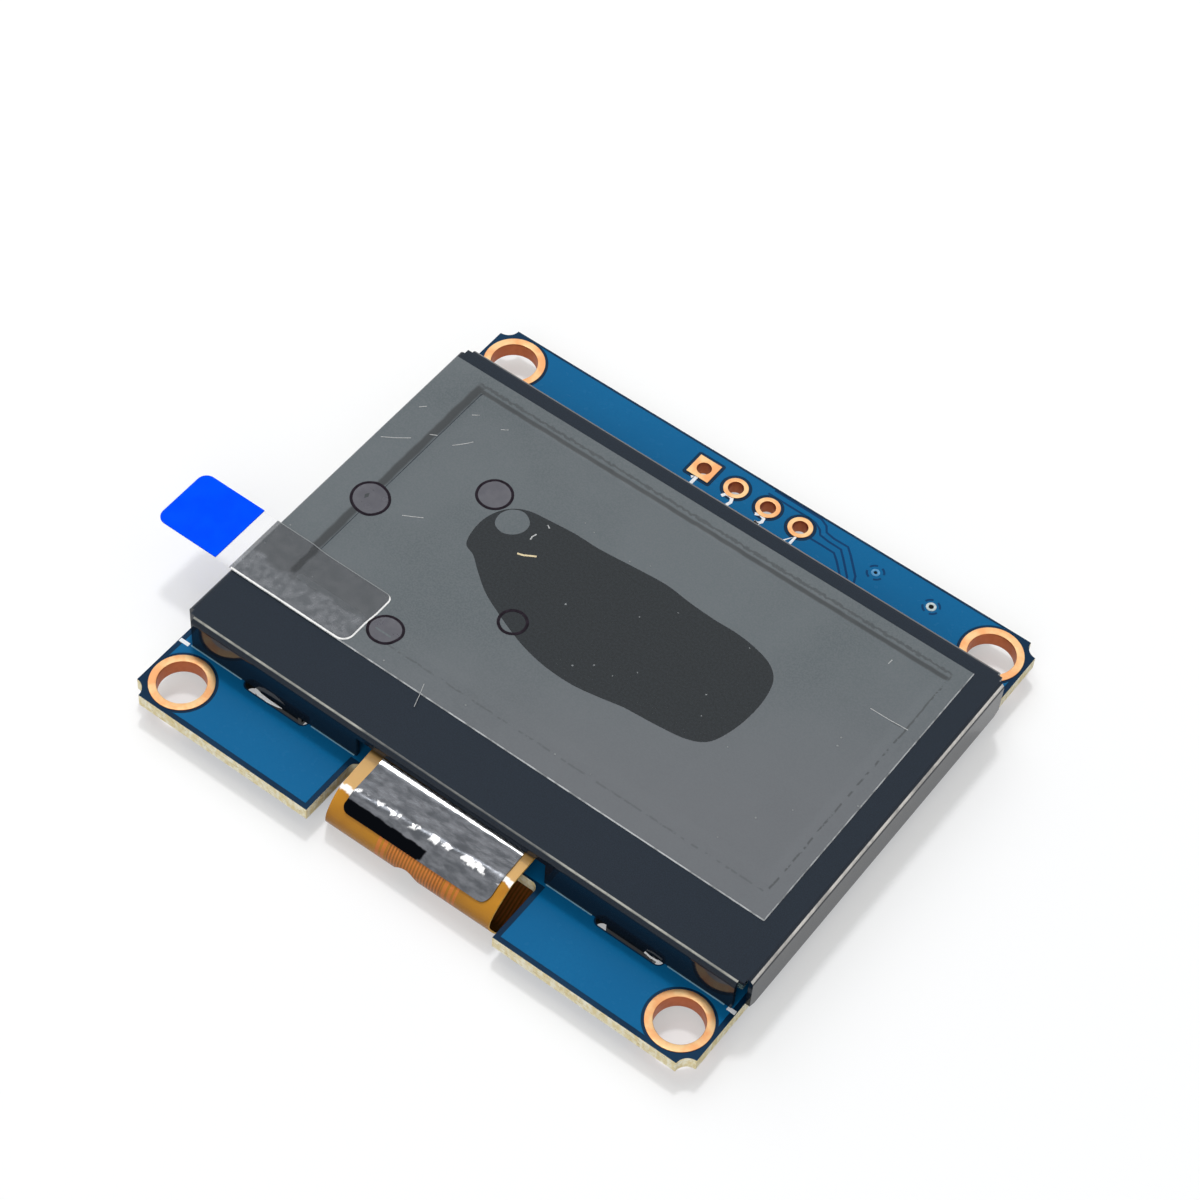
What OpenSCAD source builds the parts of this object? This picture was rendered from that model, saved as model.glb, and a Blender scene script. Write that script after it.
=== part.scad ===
// Small OLED display module: a circuit board that carries a glass panel under a
// folded steel bezel, with a flat cable looped round the board's front edge.
// Millimetres. X runs along the long side, Y towards the pin header holes, Z out of
// the display. The origin is the centre of the mounting holes on the board's back face.

/* [Circuit board] */
// How far the board reaches past the bezel's left end
board_past = 0.22; // [0.1:0.02:0.6]
// Width of the bare strip in front of the bezel and behind it
strip_w = 4.85; // [4.8:0.05:6]
// Board thickness
board_t = 1; // [0.8:0.1:1.6]
// Radius of the quarter-round bite in each corner
bite_r = 0.85; // [0.4:0.05:1]
// Thickness of plated copper
copper_t = 0.05; // [0.03:0.01:0.1]

/* [Mounting holes] */
// Distance of the holes from the board's ends
hole_inset_x = 2.3; // [2.2:0.05:2.6]
// Distance of the holes from the board's front and back edges
hole_inset_y = 2.35; // [2.2:0.05:2.6]
// Finished hole diameter
hole_d = 3.1; // [2.6:0.1:3.2]
// Outer diameter of the copper ring
ring_d = 4.15; // [3.7:0.05:4.3]

/* [Pin header holes] */
// Distance between pin holes
pin_pitch = 2.54; // [2:0.01:2.8]
// Distance from the back edge to the pin row
pin_inset = 1.7; // [1.3:0.05:1.9]
// Finished pin hole diameter
pin_hole_d = 1; // [0.8:0.05:1.1]
// Outer size of a pin pad
pin_pad_d = 1.68; // [1.5:0.01:1.8]
// Wall thickness of the sleeve that lines a pin hole
pin_sleeve_t = 0.16; // [0.14:0.01:0.17]

/* [Cable notch] */
// Width of the notch in the board's front edge
notch_w = 14.1; // [13.4:0.1:16]
// How far the notch's inner edge stays in front of the bezel
notch_room = 0.35; // [0.1:0.05:0.6]
// Radius in the notch's inner corners
notch_r = 0.5; // [0.2:0.1:1]

/* [Bezel] */
// Height of the bezel's face above the board
bezel_h = 2.7; // [2.5:0.1:3.5]
// Sheet thickness
sheet_t = 0.3; // [0.2:0.05:0.35]
// Outer radius of each bend
bend_r = 0.42; // [0.4:0.02:0.6]
// Length of the open relief at each corner
relief = 0.77; // [0.65:0.01:1.2]
// How far the side wall laps over the board's edge
lap = 0.25; // [0.1:0.05:0.6]
// Viewing window length
window_l = 36.3; // [34:0.1:37]
// Viewing window width
window_w = 18.9; // [17:0.1:20]
// Window offset from the bezel's centre along X
window_dx = 0.35; // [-0.5:0.05:0.6]
// Window offset from the bezel's centre along Y
window_dy = 1.95; // [1:0.05:2.4]
// Radius in the window's corners
window_r = 0.3; // [0.1:0.1:1]

/* [Bezel tabs] */
// Distance between the tabs along X
tab_span = 26.9; // [24:0.1:28]
// Width of a tab
tab_w = 3.4; // [2.5:0.1:3.8]
// Length of the folded end under the board
tab_foot = 1.4; // [1:0.1:2.5]
// Length of the slot that a tab passes through
slot_l = 4.9; // [4.3:0.1:5.5]
// Room outside the tab in its slot
slot_out = 0.35; // [0.2:0.05:0.7]
// Room inside the tab in its slot
slot_in = 0.2; // [0.2:0.05:0.4]

/* [Display panel] */
// Length of the front glass along X
glass_l = 41.3; // [40.5:0.1:42]
// Width of the front glass along Y
glass_w = 27; // [26:0.1:27.4]
// Room between the glass and the bezel's end walls
panel_room_x = 0.3; // [0.15:0.05:0.6]
// Room between the glass and the bezel's long walls
panel_room_y = 0.35; // [0.15:0.05:0.5]
// Thickness of the front glass
glass_t = 0.7; // [0.5:0.1:0.8]
// Thickness of the rear cap glass
cap_t = 0.5; // [0.4:0.05:0.6]
// Width of the ledge that the cap leaves free
ledge_w = 3.3; // [3:0.1:3.6]
// Depth of the recess etched in the cap
recess_d = 0.28; // [0.2:0.02:0.3]
// Width of the cap's sealed rim
rim_w = 1.4; // [1:0.1:2]
// Thickness of the polarizer
polarizer_t = 0.2; // [0.1:0.05:0.25]
// How far the polarizer passes under the bezel
polarizer_lap = 0.8; // [0.4:0.1:1]
// Length of the lit area
active_l = 35.05; // [32:0.05:35.5]
// Width of the lit area
active_w = 17.52; // [15:0.01:18]
// Driver chip length
die_l = 8.4; // [6:0.1:10]
// Driver chip width
die_w = 0.9; // [0.6:0.05:1.1]
// Driver chip thickness
die_t = 0.3; // [0.2:0.05:0.4]
// Margin of bare cap glass round the foam tape
foam_margin = 3.2; // [1:0.1:6]

/* [Flat cable] */
// Cable width
flex_w = 12.4; // [10:0.1:12.8]
// Cable thickness
flex_t = 0.1; // [0.08:0.01:0.14]
// Length bonded to the glass ledge
bond_l = 1.1; // [0.8:0.1:1.3]
// How far the fold's ridge lies behind the loop's front
ridge_back = 1.7; // [1.4:0.05:2.2]
// Height of the ridge above the board
ridge_h = 1.1; // [0.9:0.05:1.3]
// How far the loop's front stays behind the board's front edge
loop_inset = 0.9; // [0.6:0.05:1.3]
// How far the loop hangs below the board
loop_drop = 0.9; // [0.7:0.05:1]
// Length soldered to the board's back
solder_l = 2; // [1.6:0.1:2.6]
// Number of solder joints
joint_count = 24; // [16:1:28]
// Solder joint diameter
joint_d = 0.3; // [0.2:0.02:0.34]

/* [Light shield] */
// Width of the foil
foil_w = 10.5; // [8:0.1:11]
// Foil thickness
foil_t = 0.06; // [0.04:0.01:0.1]
// Height above the board's back where the foil ends
foil_end = 0.95; // [0.6:0.05:1.4]
// Radius of the foil's lower corners
foil_r = 0.8; // [0.3:0.1:1]

/* [Protective film] */
// Film length
film_l = 40.4; // [38:0.1:41]
// Film width
film_w = 22.5; // [21:0.1:24]
// Film thickness
film_t = 0.08; // [0.05:0.01:0.15]
// Film offset from the bezel's centre along Y
film_dy = 1.6; // [0:0.1:2]
// Margin of bare bezel at the film's left end
film_margin = 0.2; // [0.1:0.05:0.6]

/* [Pull tab] */
// Length stuck to the film
grip_stuck = 9.1; // [6:0.1:12]
// Length of the free end
grip_free = 6.2; // [4:0.1:9]
// Length of the coloured end
grip_l = 4.9; // [3:0.1:5.5]
// Tab width
grip_w = 4.7; // [3:0.1:6]
// Tab thickness
grip_t = 0.06; // [0.04:0.01:0.1]
// Radius of the tab's corners
grip_r = 0.7; // [0.3:0.1:1.2]

/* [Chip parts on the back] */
// Chip length
chip_l = 1.6; // [1:0.1:2]
// Chip width
chip_w = 0.8; // [0.5:0.05:1.2]
// Capacitor height
cap_h = 0.8; // [0.5:0.05:0.9]
// Resistor height
res_h = 0.45; // [0.35:0.05:0.6]
// Length of each metal end
chip_end = 0.35; // [0.2:0.05:0.5]
// Distance between chips
chip_pitch = 3.4; // [2.4:0.1:4]
// Distance of the resistor row from the board's middle
res_row = 9.4; // [7:0.1:10.5]
// Distance of the capacitor row from the board's middle
cap_row = 7.6; // [5:0.1:9]

/* [Voltage regulator] */
// Body length
reg_l = 2.9; // [2.5:0.1:3.2]
// Body width
reg_w = 1.3; // [1.1:0.1:1.6]
// Body height
reg_h = 1; // [0.8:0.05:1.1]
// Distance across the leads
reg_span = 2.4; // [2:0.1:2.8]
// Lead pitch
lead_pitch = 0.95; // [0.8:0.05:1]
// Lead width
lead_w = 0.4; // [0.3:0.05:0.5]
// Lead thickness
lead_t = 0.12; // [0.1:0.01:0.16]

/* [Fits] */
// Small gap between pieces that rest on each other
seat = 0.02; // [0.01:0.01:0.03]

/* [Hidden] */
$fn = 48;
bezel_l = glass_l + 2 * (panel_room_x + sheet_t);
bezel_w = glass_w + 2 * (panel_room_y + sheet_t);
board_l = bezel_l - sheet_t - seat + board_past;
board_w = bezel_w + 2 * strip_w;
pin_y = board_w / 2 - pin_inset;
hole_span_x = board_l - 2 * hole_inset_x;
hole_span_y = board_w - 2 * hole_inset_y;
face_z = board_t + bezel_h;
foot_z = board_t + seat;
bezel_x = board_l / 2 + seat + sheet_t - bezel_l / 2;
wall_y = bezel_w / 2;
notch_y = -wall_y - notch_room;
notch_d = board_w / 2 + notch_y;
window_x = bezel_x + window_dx;
polarizer_top = face_z - sheet_t - seat;
glass_top = polarizer_top - polarizer_t - seat;
glass_bot = glass_top - glass_t;
cap_top = glass_bot - seat;
cap_bot = cap_top - cap_t;
ledge_y = -glass_w / 2 + ledge_w;
flex_top = glass_bot - seat;
film_z = face_z + seat;
grip_z = film_z + film_t + seat;
film_x = bezel_x - bezel_l / 2 + film_margin + film_l / 2;
grip_end_x = film_x - film_l / 2 + grip_stuck;
grip_far_x = film_x - film_l / 2 - grip_free;
grip_y = film_dy - film_w / 2 + grip_w / 2;
slot_w = sheet_t + slot_out + slot_in;
slot_y = wall_y - slot_in - sheet_t + slot_w / 2;

// Middle line of the flat cable, as (y, z) points from the glass to the solder row
steps = 12;
bond_y = -glass_w / 2 + bond_l;
mid_z = flex_top - flex_t / 2;
back_z = -seat - flex_t / 2;
nose = [-board_w / 2 + loop_inset + flex_t / 2, board_t / 2];
ridge = [nose[0] + ridge_back, board_t + ridge_h - flex_t / 2];
low = [nose[0] + 1.1, -loop_drop + flex_t / 2];
landing = [notch_y + 0.3, back_z];
flex_exit = [-glass_w / 2, mid_z];
flex_line = concat(
  [[bond_y, mid_z]],
  bezier(flex_exit, flex_exit - [0.9, 0], ridge + [0.9, 0.12], ridge),
  tail(bezier(ridge, ridge - [0.5, 0.16], nose + [0, 0.8], nose)),
  tail(bezier(nose, nose - [0, 0.7], low - [0.45, 0], low)),
  tail(bezier(low, low + [0.9, 0], landing - [1.1, 0], landing)),
  [[landing[0] + solder_l, back_z]]
);
foil_line = [for (i = [0 : 2 * steps + 2])
  if (flex_line[i][0] < -glass_w / 2 - 0.1 && flex_line[i][1] > foil_end) flex_line[i]];

function bezier(a, b, c, d) = [for (i = [0 : steps])
  let (t = i / steps, u = 1 - t)
  u * u * u * a + 3 * u * u * t * b + 3 * u * t * t * c + t * t * t * d];

function tail(points) = [for (i = [1 : len(points) - 1]) points[i]];

function outward(points, i) =
  let (
    before = points[max(i - 1, 0)],
    after = points[min(i + 1, len(points) - 1)],
    run = after - before
  )
  [run[1], -run[0]] / norm(run);

function shifted(points, by) = [for (i = [0 : len(points) - 1]) points[i] + by * outward(points, i)];

function reversed(points) = [for (i = [len(points) - 1 : -1 : 0]) points[i]];

module rounded(l, w, r) {
  square([l - 2 * r, w], center = true);
  square([l, w - 2 * r], center = true);
  for (x = [-1, 1], y = [-1, 1])
    translate([x * (l / 2 - r), y * (w / 2 - r)])
      circle(r);
}

module plate(x, y, z, l, w, t) {
  translate([x - l / 2, y - w / 2, z])
    cube([l, w, t]);
}

module along_x(length) {
  rotate([90, 0, 90])
    linear_extrude(length, center = true)
      children();
}

module ribbon(points, inner, outer, width) {
  along_x(width)
    polygon(concat(shifted(points, outer), reversed(shifted(points, inner))));
}

// ---- circuit board ----

module board() {
  color([0.05, 0.35, 0.58])
    linear_extrude(board_t)
      difference() {
        square([board_l, board_w], center = true);
        for (x = [-1, 1], y = [-1, 1])
          translate([x * board_l / 2, y * board_w / 2])
            circle(bite_r);
        for (x = [-1, 1], y = [-1, 1])
          translate([x * hole_span_x / 2, y * hole_span_y / 2])
            circle(hole_d / 2 + copper_t + seat);
        for (i = [0 : 3])
          translate([pin_x(i), pin_y])
            circle(pin_hole_d / 2 + pin_sleeve_t + seat);
        translate([0, notch_y - notch_d])
          rounded(notch_w, 2 * notch_d, notch_r);
        for (x = [-1, 1], y = [-1, 1])
          translate([x * tab_span / 2, y * slot_y])
            rounded(slot_l, slot_w, slot_w / 2 - 0.01);
      }
}

function pin_x(i) = (i - 1.5) * pin_pitch;

module lined_hole(bore_d, wall_t, pad_d) {
  difference() {
    union() {
      translate([0, 0, -copper_t - seat])
        cylinder(d = bore_d + 2 * wall_t, h = board_t + 2 * copper_t + 2 * seat);
      translate([0, 0, board_t + seat])
        cylinder(d = pad_d, h = copper_t);
      translate([0, 0, -copper_t - seat])
        cylinder(d = pad_d, h = copper_t);
    }
    translate([0, 0, -1])
      cylinder(d = bore_d, h = board_t + 2);
  }
}

module hole_ring(side_x, side_y) {
  color([0.9, 0.65, 0.4])
    translate([side_x * hole_span_x / 2, side_y * hole_span_y / 2, 0])
      lined_hole(hole_d, copper_t, ring_d);
}

module pin_pad(i) {
  color([0.9, 0.65, 0.4])
    translate([pin_x(i), pin_y, 0])
      lined_hole(pin_hole_d, pin_sleeve_t, pin_pad_d);
}

module square_pin_pad() {
  color([0.9, 0.65, 0.4])
    translate([pin_x(0), pin_y, 0])
      difference() {
        union() {
          lined_hole(pin_hole_d, pin_sleeve_t, pin_pad_d);
          plate(0, 0, board_t + seat, pin_pad_d, pin_pad_d, copper_t);
          plate(0, 0, -copper_t - seat, pin_pad_d, pin_pad_d, copper_t);
        }
        translate([0, 0, -1])
          cylinder(d = pin_hole_d, h = board_t + 2);
      }
}

// ---- folded bezel ----

// A quarter bend along X, from the +Y side to the +Z side of its own axis
module bend(length) {
  intersection() {
    rotate([0, 90, 0])
      difference() {
        cylinder(r = bend_r, h = length, center = true);
        cylinder(r = bend_r - sheet_t, h = length + 1, center = true);
      }
    translate([-length / 2, 0, 0])
      cube([length, bend_r, bend_r]);
  }
}

// Wall folded down from the face; its outer side lies on Y = 0
module folded_wall(length, foot) {
  translate([0, -bend_r, face_z - bend_r])
    bend(length);
  translate([-length / 2, -sheet_t, foot])
    cube([length, sheet_t, face_z - bend_r - foot]);
}

// Tab that runs on down through a slot and folds in under the board
module tab() {
  axis_z = -seat + bend_r - sheet_t;
  translate([-tab_w / 2, -sheet_t, axis_z])
    cube([tab_w, sheet_t, foot_z - axis_z + 0.1]);
  translate([0, -bend_r, axis_z])
    mirror([0, 0, 1])
      bend(tab_w);
  translate([-tab_w / 2, -bend_r - tab_foot, -seat - sheet_t])
    cube([tab_w, tab_foot, sheet_t]);
}

module long_wall() {
  folded_wall(bezel_l - 2 * relief, foot_z);
  for (x = [-1, 1])
    translate([x * tab_span / 2 - bezel_x, 0, 0])
      tab();
}

// Edge of the right wall that laps over the board's side, with sloped ends
module side_lap() {
  run = bezel_w / 2 - relief;
  rotate([90, 0, 90])
    linear_extrude(sheet_t)
      polygon([
        [-run, foot_z + 0.1],
        [-run, foot_z],
        [-run + 2 * lap, board_t - lap],
        [run - 2 * lap, board_t - lap],
        [run, foot_z],
        [run, foot_z + 0.1]
      ]);
}

module bezel() {
  color([0.16, 0.17, 0.19])
    difference() {
      translate([bezel_x, 0, 0])
        union() {
          translate([0, 0, face_z - sheet_t])
            linear_extrude(sheet_t)
              difference() {
                square([bezel_l - 2 * bend_r, bezel_w - 2 * bend_r], center = true);
                translate([window_dx, window_dy])
                  rounded(window_l, window_w, window_r);
              }
          translate([0, wall_y, 0])
            long_wall();
          translate([0, -wall_y, 0])
            mirror([0, 1, 0])
              long_wall();
          translate([bezel_l / 2, 0, 0])
            rotate([0, 0, -90])
              folded_wall(bezel_w - 2 * relief, foot_z);
          translate([bezel_l / 2 - sheet_t, 0, 0])
            side_lap();
          translate([-bezel_l / 2, 0, 0])
            rotate([0, 0, 90])
              folded_wall(bezel_w - 2 * relief, foot_z);
        }
      cable_mouth();
    }
}

// Opening in the front wall that the flat cable leaves through
module cable_mouth() {
  width = notch_w + 0.2;
  translate([-width / 2, -wall_y - 1, 0])
    cube([width, 1 + sheet_t + 0.1, face_z - bend_r - 0.35]);
}

// ---- display panel ----

module polarizer() {
  color([0.2, 0.21, 0.23])
    plate(
      window_x, window_dy, polarizer_top - polarizer_t,
      window_l + 2 * polarizer_lap, window_w + 2 * polarizer_lap, polarizer_t
    );
}

module front_glass() {
  color([0.5, 0.55, 0.6])
    plate(bezel_x, 0, glass_bot, glass_l, glass_w, glass_t);
}

module pixel_layer() {
  layer_t = 0.05;
  color([0.3, 0.3, 0.35])
    plate(window_x, window_dy, glass_bot - seat - layer_t, active_l, active_w, layer_t);
}

module cap_glass() {
  color([0.55, 0.6, 0.62])
    difference() {
      translate([bezel_x - glass_l / 2, ledge_y, cap_bot])
        cube([glass_l, glass_w / 2 - ledge_y, cap_t]);
      translate([bezel_x - glass_l / 2 + rim_w, ledge_y + rim_w, cap_top - recess_d])
        cube([glass_l - 2 * rim_w, glass_w / 2 - ledge_y - 2 * rim_w, recess_d + 1]);
    }
}

module getter() {
  color([0.85, 0.85, 0.8])
    translate([bezel_x - glass_l / 2 + 2 * rim_w, ledge_y + 2 * rim_w, cap_top - recess_d + seat])
      cube([glass_l - 4 * rim_w, glass_w / 2 - ledge_y - 4 * rim_w, 0.1]);
}

module driver_chip() {
  color([0.3, 0.32, 0.36])
    plate(bezel_x, ledge_y - 0.25 - die_w / 2, glass_bot - seat - die_t, die_l, die_w, die_t);
}

module foam_tape() {
  color([0.1, 0.1, 0.1])
    translate([bezel_x - glass_l / 2 + foam_margin, ledge_y + foam_margin, foot_z])
      cube([
        glass_l - 2 * foam_margin,
        glass_w / 2 - ledge_y - 2 * foam_margin,
        cap_bot - seat - foot_z
      ]);
}

// ---- flat cable and foil ----

module flat_cable() {
  color([0.8, 0.55, 0.15])
    ribbon(flex_line, -flex_t / 2, flex_t / 2, flex_w);
}

module solder_row() {
  pitch = (flex_w - 1) / (joint_count - 1);
  under = -2 * seat - flex_t;
  color([0.75, 0.76, 0.78])
    intersection() {
      for (i = [0 : joint_count - 1])
        translate([-(flex_w - 1) / 2 + i * pitch, landing[0] + solder_l / 2, under])
          rotate([90, 0, 0])
            cylinder(d = joint_d, h = solder_l - 0.4, center = true, $fn = 16);
      translate([-flex_w / 2, landing[0], under - joint_d])
        cube([flex_w, solder_l, joint_d]);
    }
}

module light_shield() {
  color([0.72, 0.72, 0.74])
    intersection() {
      ribbon(foil_line, flex_t / 2 + seat, flex_t / 2 + seat + foil_t, foil_w);
      translate([0, -wall_y, foil_end])
        rotate([90, 0, 0])
          linear_extrude(board_w / 2, center = true)
            translate([0, board_w / 2])
              rounded(foil_w, board_w, foil_r);
    }
}

// ---- film and pull tab ----

module protective_film() {
  color([0.6, 0.62, 0.64, 0.4])
    plate(film_x, film_dy, film_z, film_l, film_w, film_t);
}

module tab_outline() {
  length = grip_end_x - grip_far_x;
  translate([(grip_end_x + grip_far_x) / 2, grip_y])
    rounded(length, grip_w, grip_r);
}

module pull_tab() {
  color([0.75, 0.76, 0.78, 0.4])
    translate([0, 0, grip_z])
      linear_extrude(grip_t)
        tab_outline();
}

module pull_tab_grip() {
  color([0, 0.25, 0.95])
    translate([0, 0, grip_z + grip_t + seat])
      linear_extrude(grip_t)
        intersection() {
          tab_outline();
          translate([grip_far_x, grip_y - grip_w / 2])
            square([grip_l, grip_w]);
        }
}

// ---- parts on the back ----

module capacitor_at(i) {
  translate([(i - 1.5) * chip_pitch, -cap_row, -seat])
    children();
}

// Two resistors stand on each side of the regulator
module resistor_at(i) {
  side = i < 2 ? -1 : 1;
  translate([(i - 1.5 + side * 0.7) * chip_pitch, res_row, -seat])
    children();
}

module chip_body(h) {
  plate(0, 0, -h + 0.03, chip_l - 2 * chip_end, chip_w, h - 0.06);
}

module chip_ends(h) {
  for (x = [-1, 1])
    plate(x * (chip_l - chip_end + seat) / 2, 0, -h, chip_end - seat, chip_w, h);
}

module capacitor(i) {
  color([0.72, 0.6, 0.45])
    capacitor_at(i)
      chip_body(cap_h);
}

module capacitor_ends(i) {
  color([0.8, 0.81, 0.82])
    capacitor_at(i)
      chip_ends(cap_h);
}

module resistor(i) {
  color([0.12, 0.12, 0.12])
    resistor_at(i)
      chip_body(res_h);
}

module resistor_ends(i) {
  color([0.8, 0.81, 0.82])
    resistor_at(i)
      chip_ends(res_h);
}

module regulator_at() {
  translate([0, res_row, -seat])
    children();
}

module regulator() {
  draft = 0.08;
  gap = 0.06;
  color([0.12, 0.12, 0.13])
    regulator_at()
      along_x(reg_l)
        polygon([
          [-reg_w / 2 + draft, -gap],
          [reg_w / 2 - draft, -gap],
          [reg_w / 2, -reg_h / 2],
          [reg_w / 2 - draft, -reg_h],
          [-reg_w / 2 + draft, -reg_h],
          [-reg_w / 2, -reg_h / 2]
        ]);
}

// One gull-wing lead, pointing to +Y
module lead() {
  root = reg_w / 2 + seat;
  step = (reg_span / 2 - root) / 2;
  along_x(lead_w)
    polygon([
      [root, -reg_h / 2 - lead_t / 2],
      [root + step + lead_t, -reg_h / 2 - lead_t / 2],
      [root + step + lead_t, -lead_t],
      [root + 2 * step, -lead_t],
      [root + 2 * step, 0],
      [root + step, 0],
      [root + step, -reg_h / 2 + lead_t / 2],
      [root, -reg_h / 2 + lead_t / 2]
    ]);
}

module regulator_leads() {
  color([0.8, 0.81, 0.82])
    regulator_at() {
      for (x = [-1, 1])
        translate([x * lead_pitch, 0, 0])
          mirror([0, 1, 0])
            lead();
      lead();
    }
}

board();
hole_ring(-1, -1);  // hole_ring_front_left
hole_ring(1, -1);  // hole_ring_front_right
hole_ring(-1, 1);  // hole_ring_back_left
hole_ring(1, 1);  // hole_ring_back_right
square_pin_pad();  // pin_pad_1
pin_pad(1);  // pin_pad_2
pin_pad(2);  // pin_pad_3
pin_pad(3);  // pin_pad_4
bezel();
polarizer();
front_glass();
pixel_layer();
getter();
cap_glass();
driver_chip();
foam_tape();
flat_cable();
solder_row();
light_shield();
protective_film();
pull_tab();
pull_tab_grip();
capacitor(0);  // capacitor_1
capacitor(1);  // capacitor_2
capacitor(2);  // capacitor_3
capacitor(3);  // capacitor_4
capacitor_ends(0);  // capacitor_ends_1
capacitor_ends(1);  // capacitor_ends_2
capacitor_ends(2);  // capacitor_ends_3
capacitor_ends(3);  // capacitor_ends_4
resistor(0);  // resistor_1
resistor(1);  // resistor_2
resistor(2);  // resistor_3
resistor(3);  // resistor_4
resistor_ends(0);  // resistor_ends_1
resistor_ends(1);  // resistor_ends_2
resistor_ends(2);  // resistor_ends_3
resistor_ends(3);  // resistor_ends_4
regulator();
regulator_leads();
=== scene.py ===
import math
import random

import bpy
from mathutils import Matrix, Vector, noise
from mathutils.geometry import delaunay_2d_cdt

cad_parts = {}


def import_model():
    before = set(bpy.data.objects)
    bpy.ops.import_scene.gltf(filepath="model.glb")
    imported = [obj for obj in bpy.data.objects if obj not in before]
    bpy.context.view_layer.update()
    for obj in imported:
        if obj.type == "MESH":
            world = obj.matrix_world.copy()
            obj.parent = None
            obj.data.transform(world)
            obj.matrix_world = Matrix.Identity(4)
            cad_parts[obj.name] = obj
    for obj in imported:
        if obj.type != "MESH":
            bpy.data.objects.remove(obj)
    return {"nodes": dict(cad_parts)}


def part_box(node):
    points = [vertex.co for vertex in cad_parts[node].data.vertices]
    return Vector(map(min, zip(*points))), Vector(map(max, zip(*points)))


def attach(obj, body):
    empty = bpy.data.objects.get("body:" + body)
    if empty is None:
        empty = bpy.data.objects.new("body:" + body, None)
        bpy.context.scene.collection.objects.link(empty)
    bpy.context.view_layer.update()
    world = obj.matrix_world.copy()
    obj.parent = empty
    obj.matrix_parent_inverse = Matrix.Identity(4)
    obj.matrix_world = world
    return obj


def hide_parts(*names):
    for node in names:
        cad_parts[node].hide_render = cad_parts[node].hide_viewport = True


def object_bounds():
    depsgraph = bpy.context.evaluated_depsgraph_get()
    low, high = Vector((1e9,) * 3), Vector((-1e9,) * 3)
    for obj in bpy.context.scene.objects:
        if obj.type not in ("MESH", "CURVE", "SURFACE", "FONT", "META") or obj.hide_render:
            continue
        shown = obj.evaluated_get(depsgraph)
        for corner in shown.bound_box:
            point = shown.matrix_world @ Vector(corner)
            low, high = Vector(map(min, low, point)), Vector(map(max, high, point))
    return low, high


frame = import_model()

cad_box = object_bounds()
MM = 0.001
TURN = 6.2831853  # radians in a full turn


def rgb(r, g, b):
    """A linear colour from 0 to 255 display values."""
    def linear(c):
        c /= 255
        return c / 12.92 if c <= 0.04045 else ((c + 0.055) / 1.055) ** 2.4
    return (linear(r), linear(g), linear(b), 1.0)


# ---- node graphs ----

class Val:
    """A value in a node graph, with arithmetic."""

    def __init__(self, tree, socket):
        self.tree, self.socket = tree, socket

    def op(self, kind, other=None):
        n = self.tree.nodes.new("ShaderNodeMath")
        n.operation = kind
        for i, v in enumerate((self, other)):
            if isinstance(v, Val):
                self.tree.links.new(v.socket, n.inputs[i])
            elif v is not None:
                n.inputs[i].default_value = v
        return Val(self.tree, n.outputs[0])

    def __add__(self, o): return self.op("ADD", o)
    def __sub__(self, o): return self.op("SUBTRACT", o)
    def __mul__(self, o): return self.op("MULTIPLY", o)
    def abs(self): return self.op("ABSOLUTE")
    def max(self, o): return self.op("MAXIMUM", o)
    def fract(self): return self.op("FRACT")

    def ramp(self, a, b, out_a=0.0, out_b=1.0):
        """Goes smoothly from out_a to out_b as the value goes from a to b."""
        n = self.tree.nodes.new("ShaderNodeMapRange")
        n.interpolation_type = "SMOOTHSTEP"
        self.tree.links.new(self.socket, n.inputs["Value"])
        for key, v in (("From Min", a), ("From Max", b), ("To Min", out_a), ("To Max", out_b)):
            n.inputs[key].default_value = v
        return Val(self.tree, n.outputs["Result"])


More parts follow.
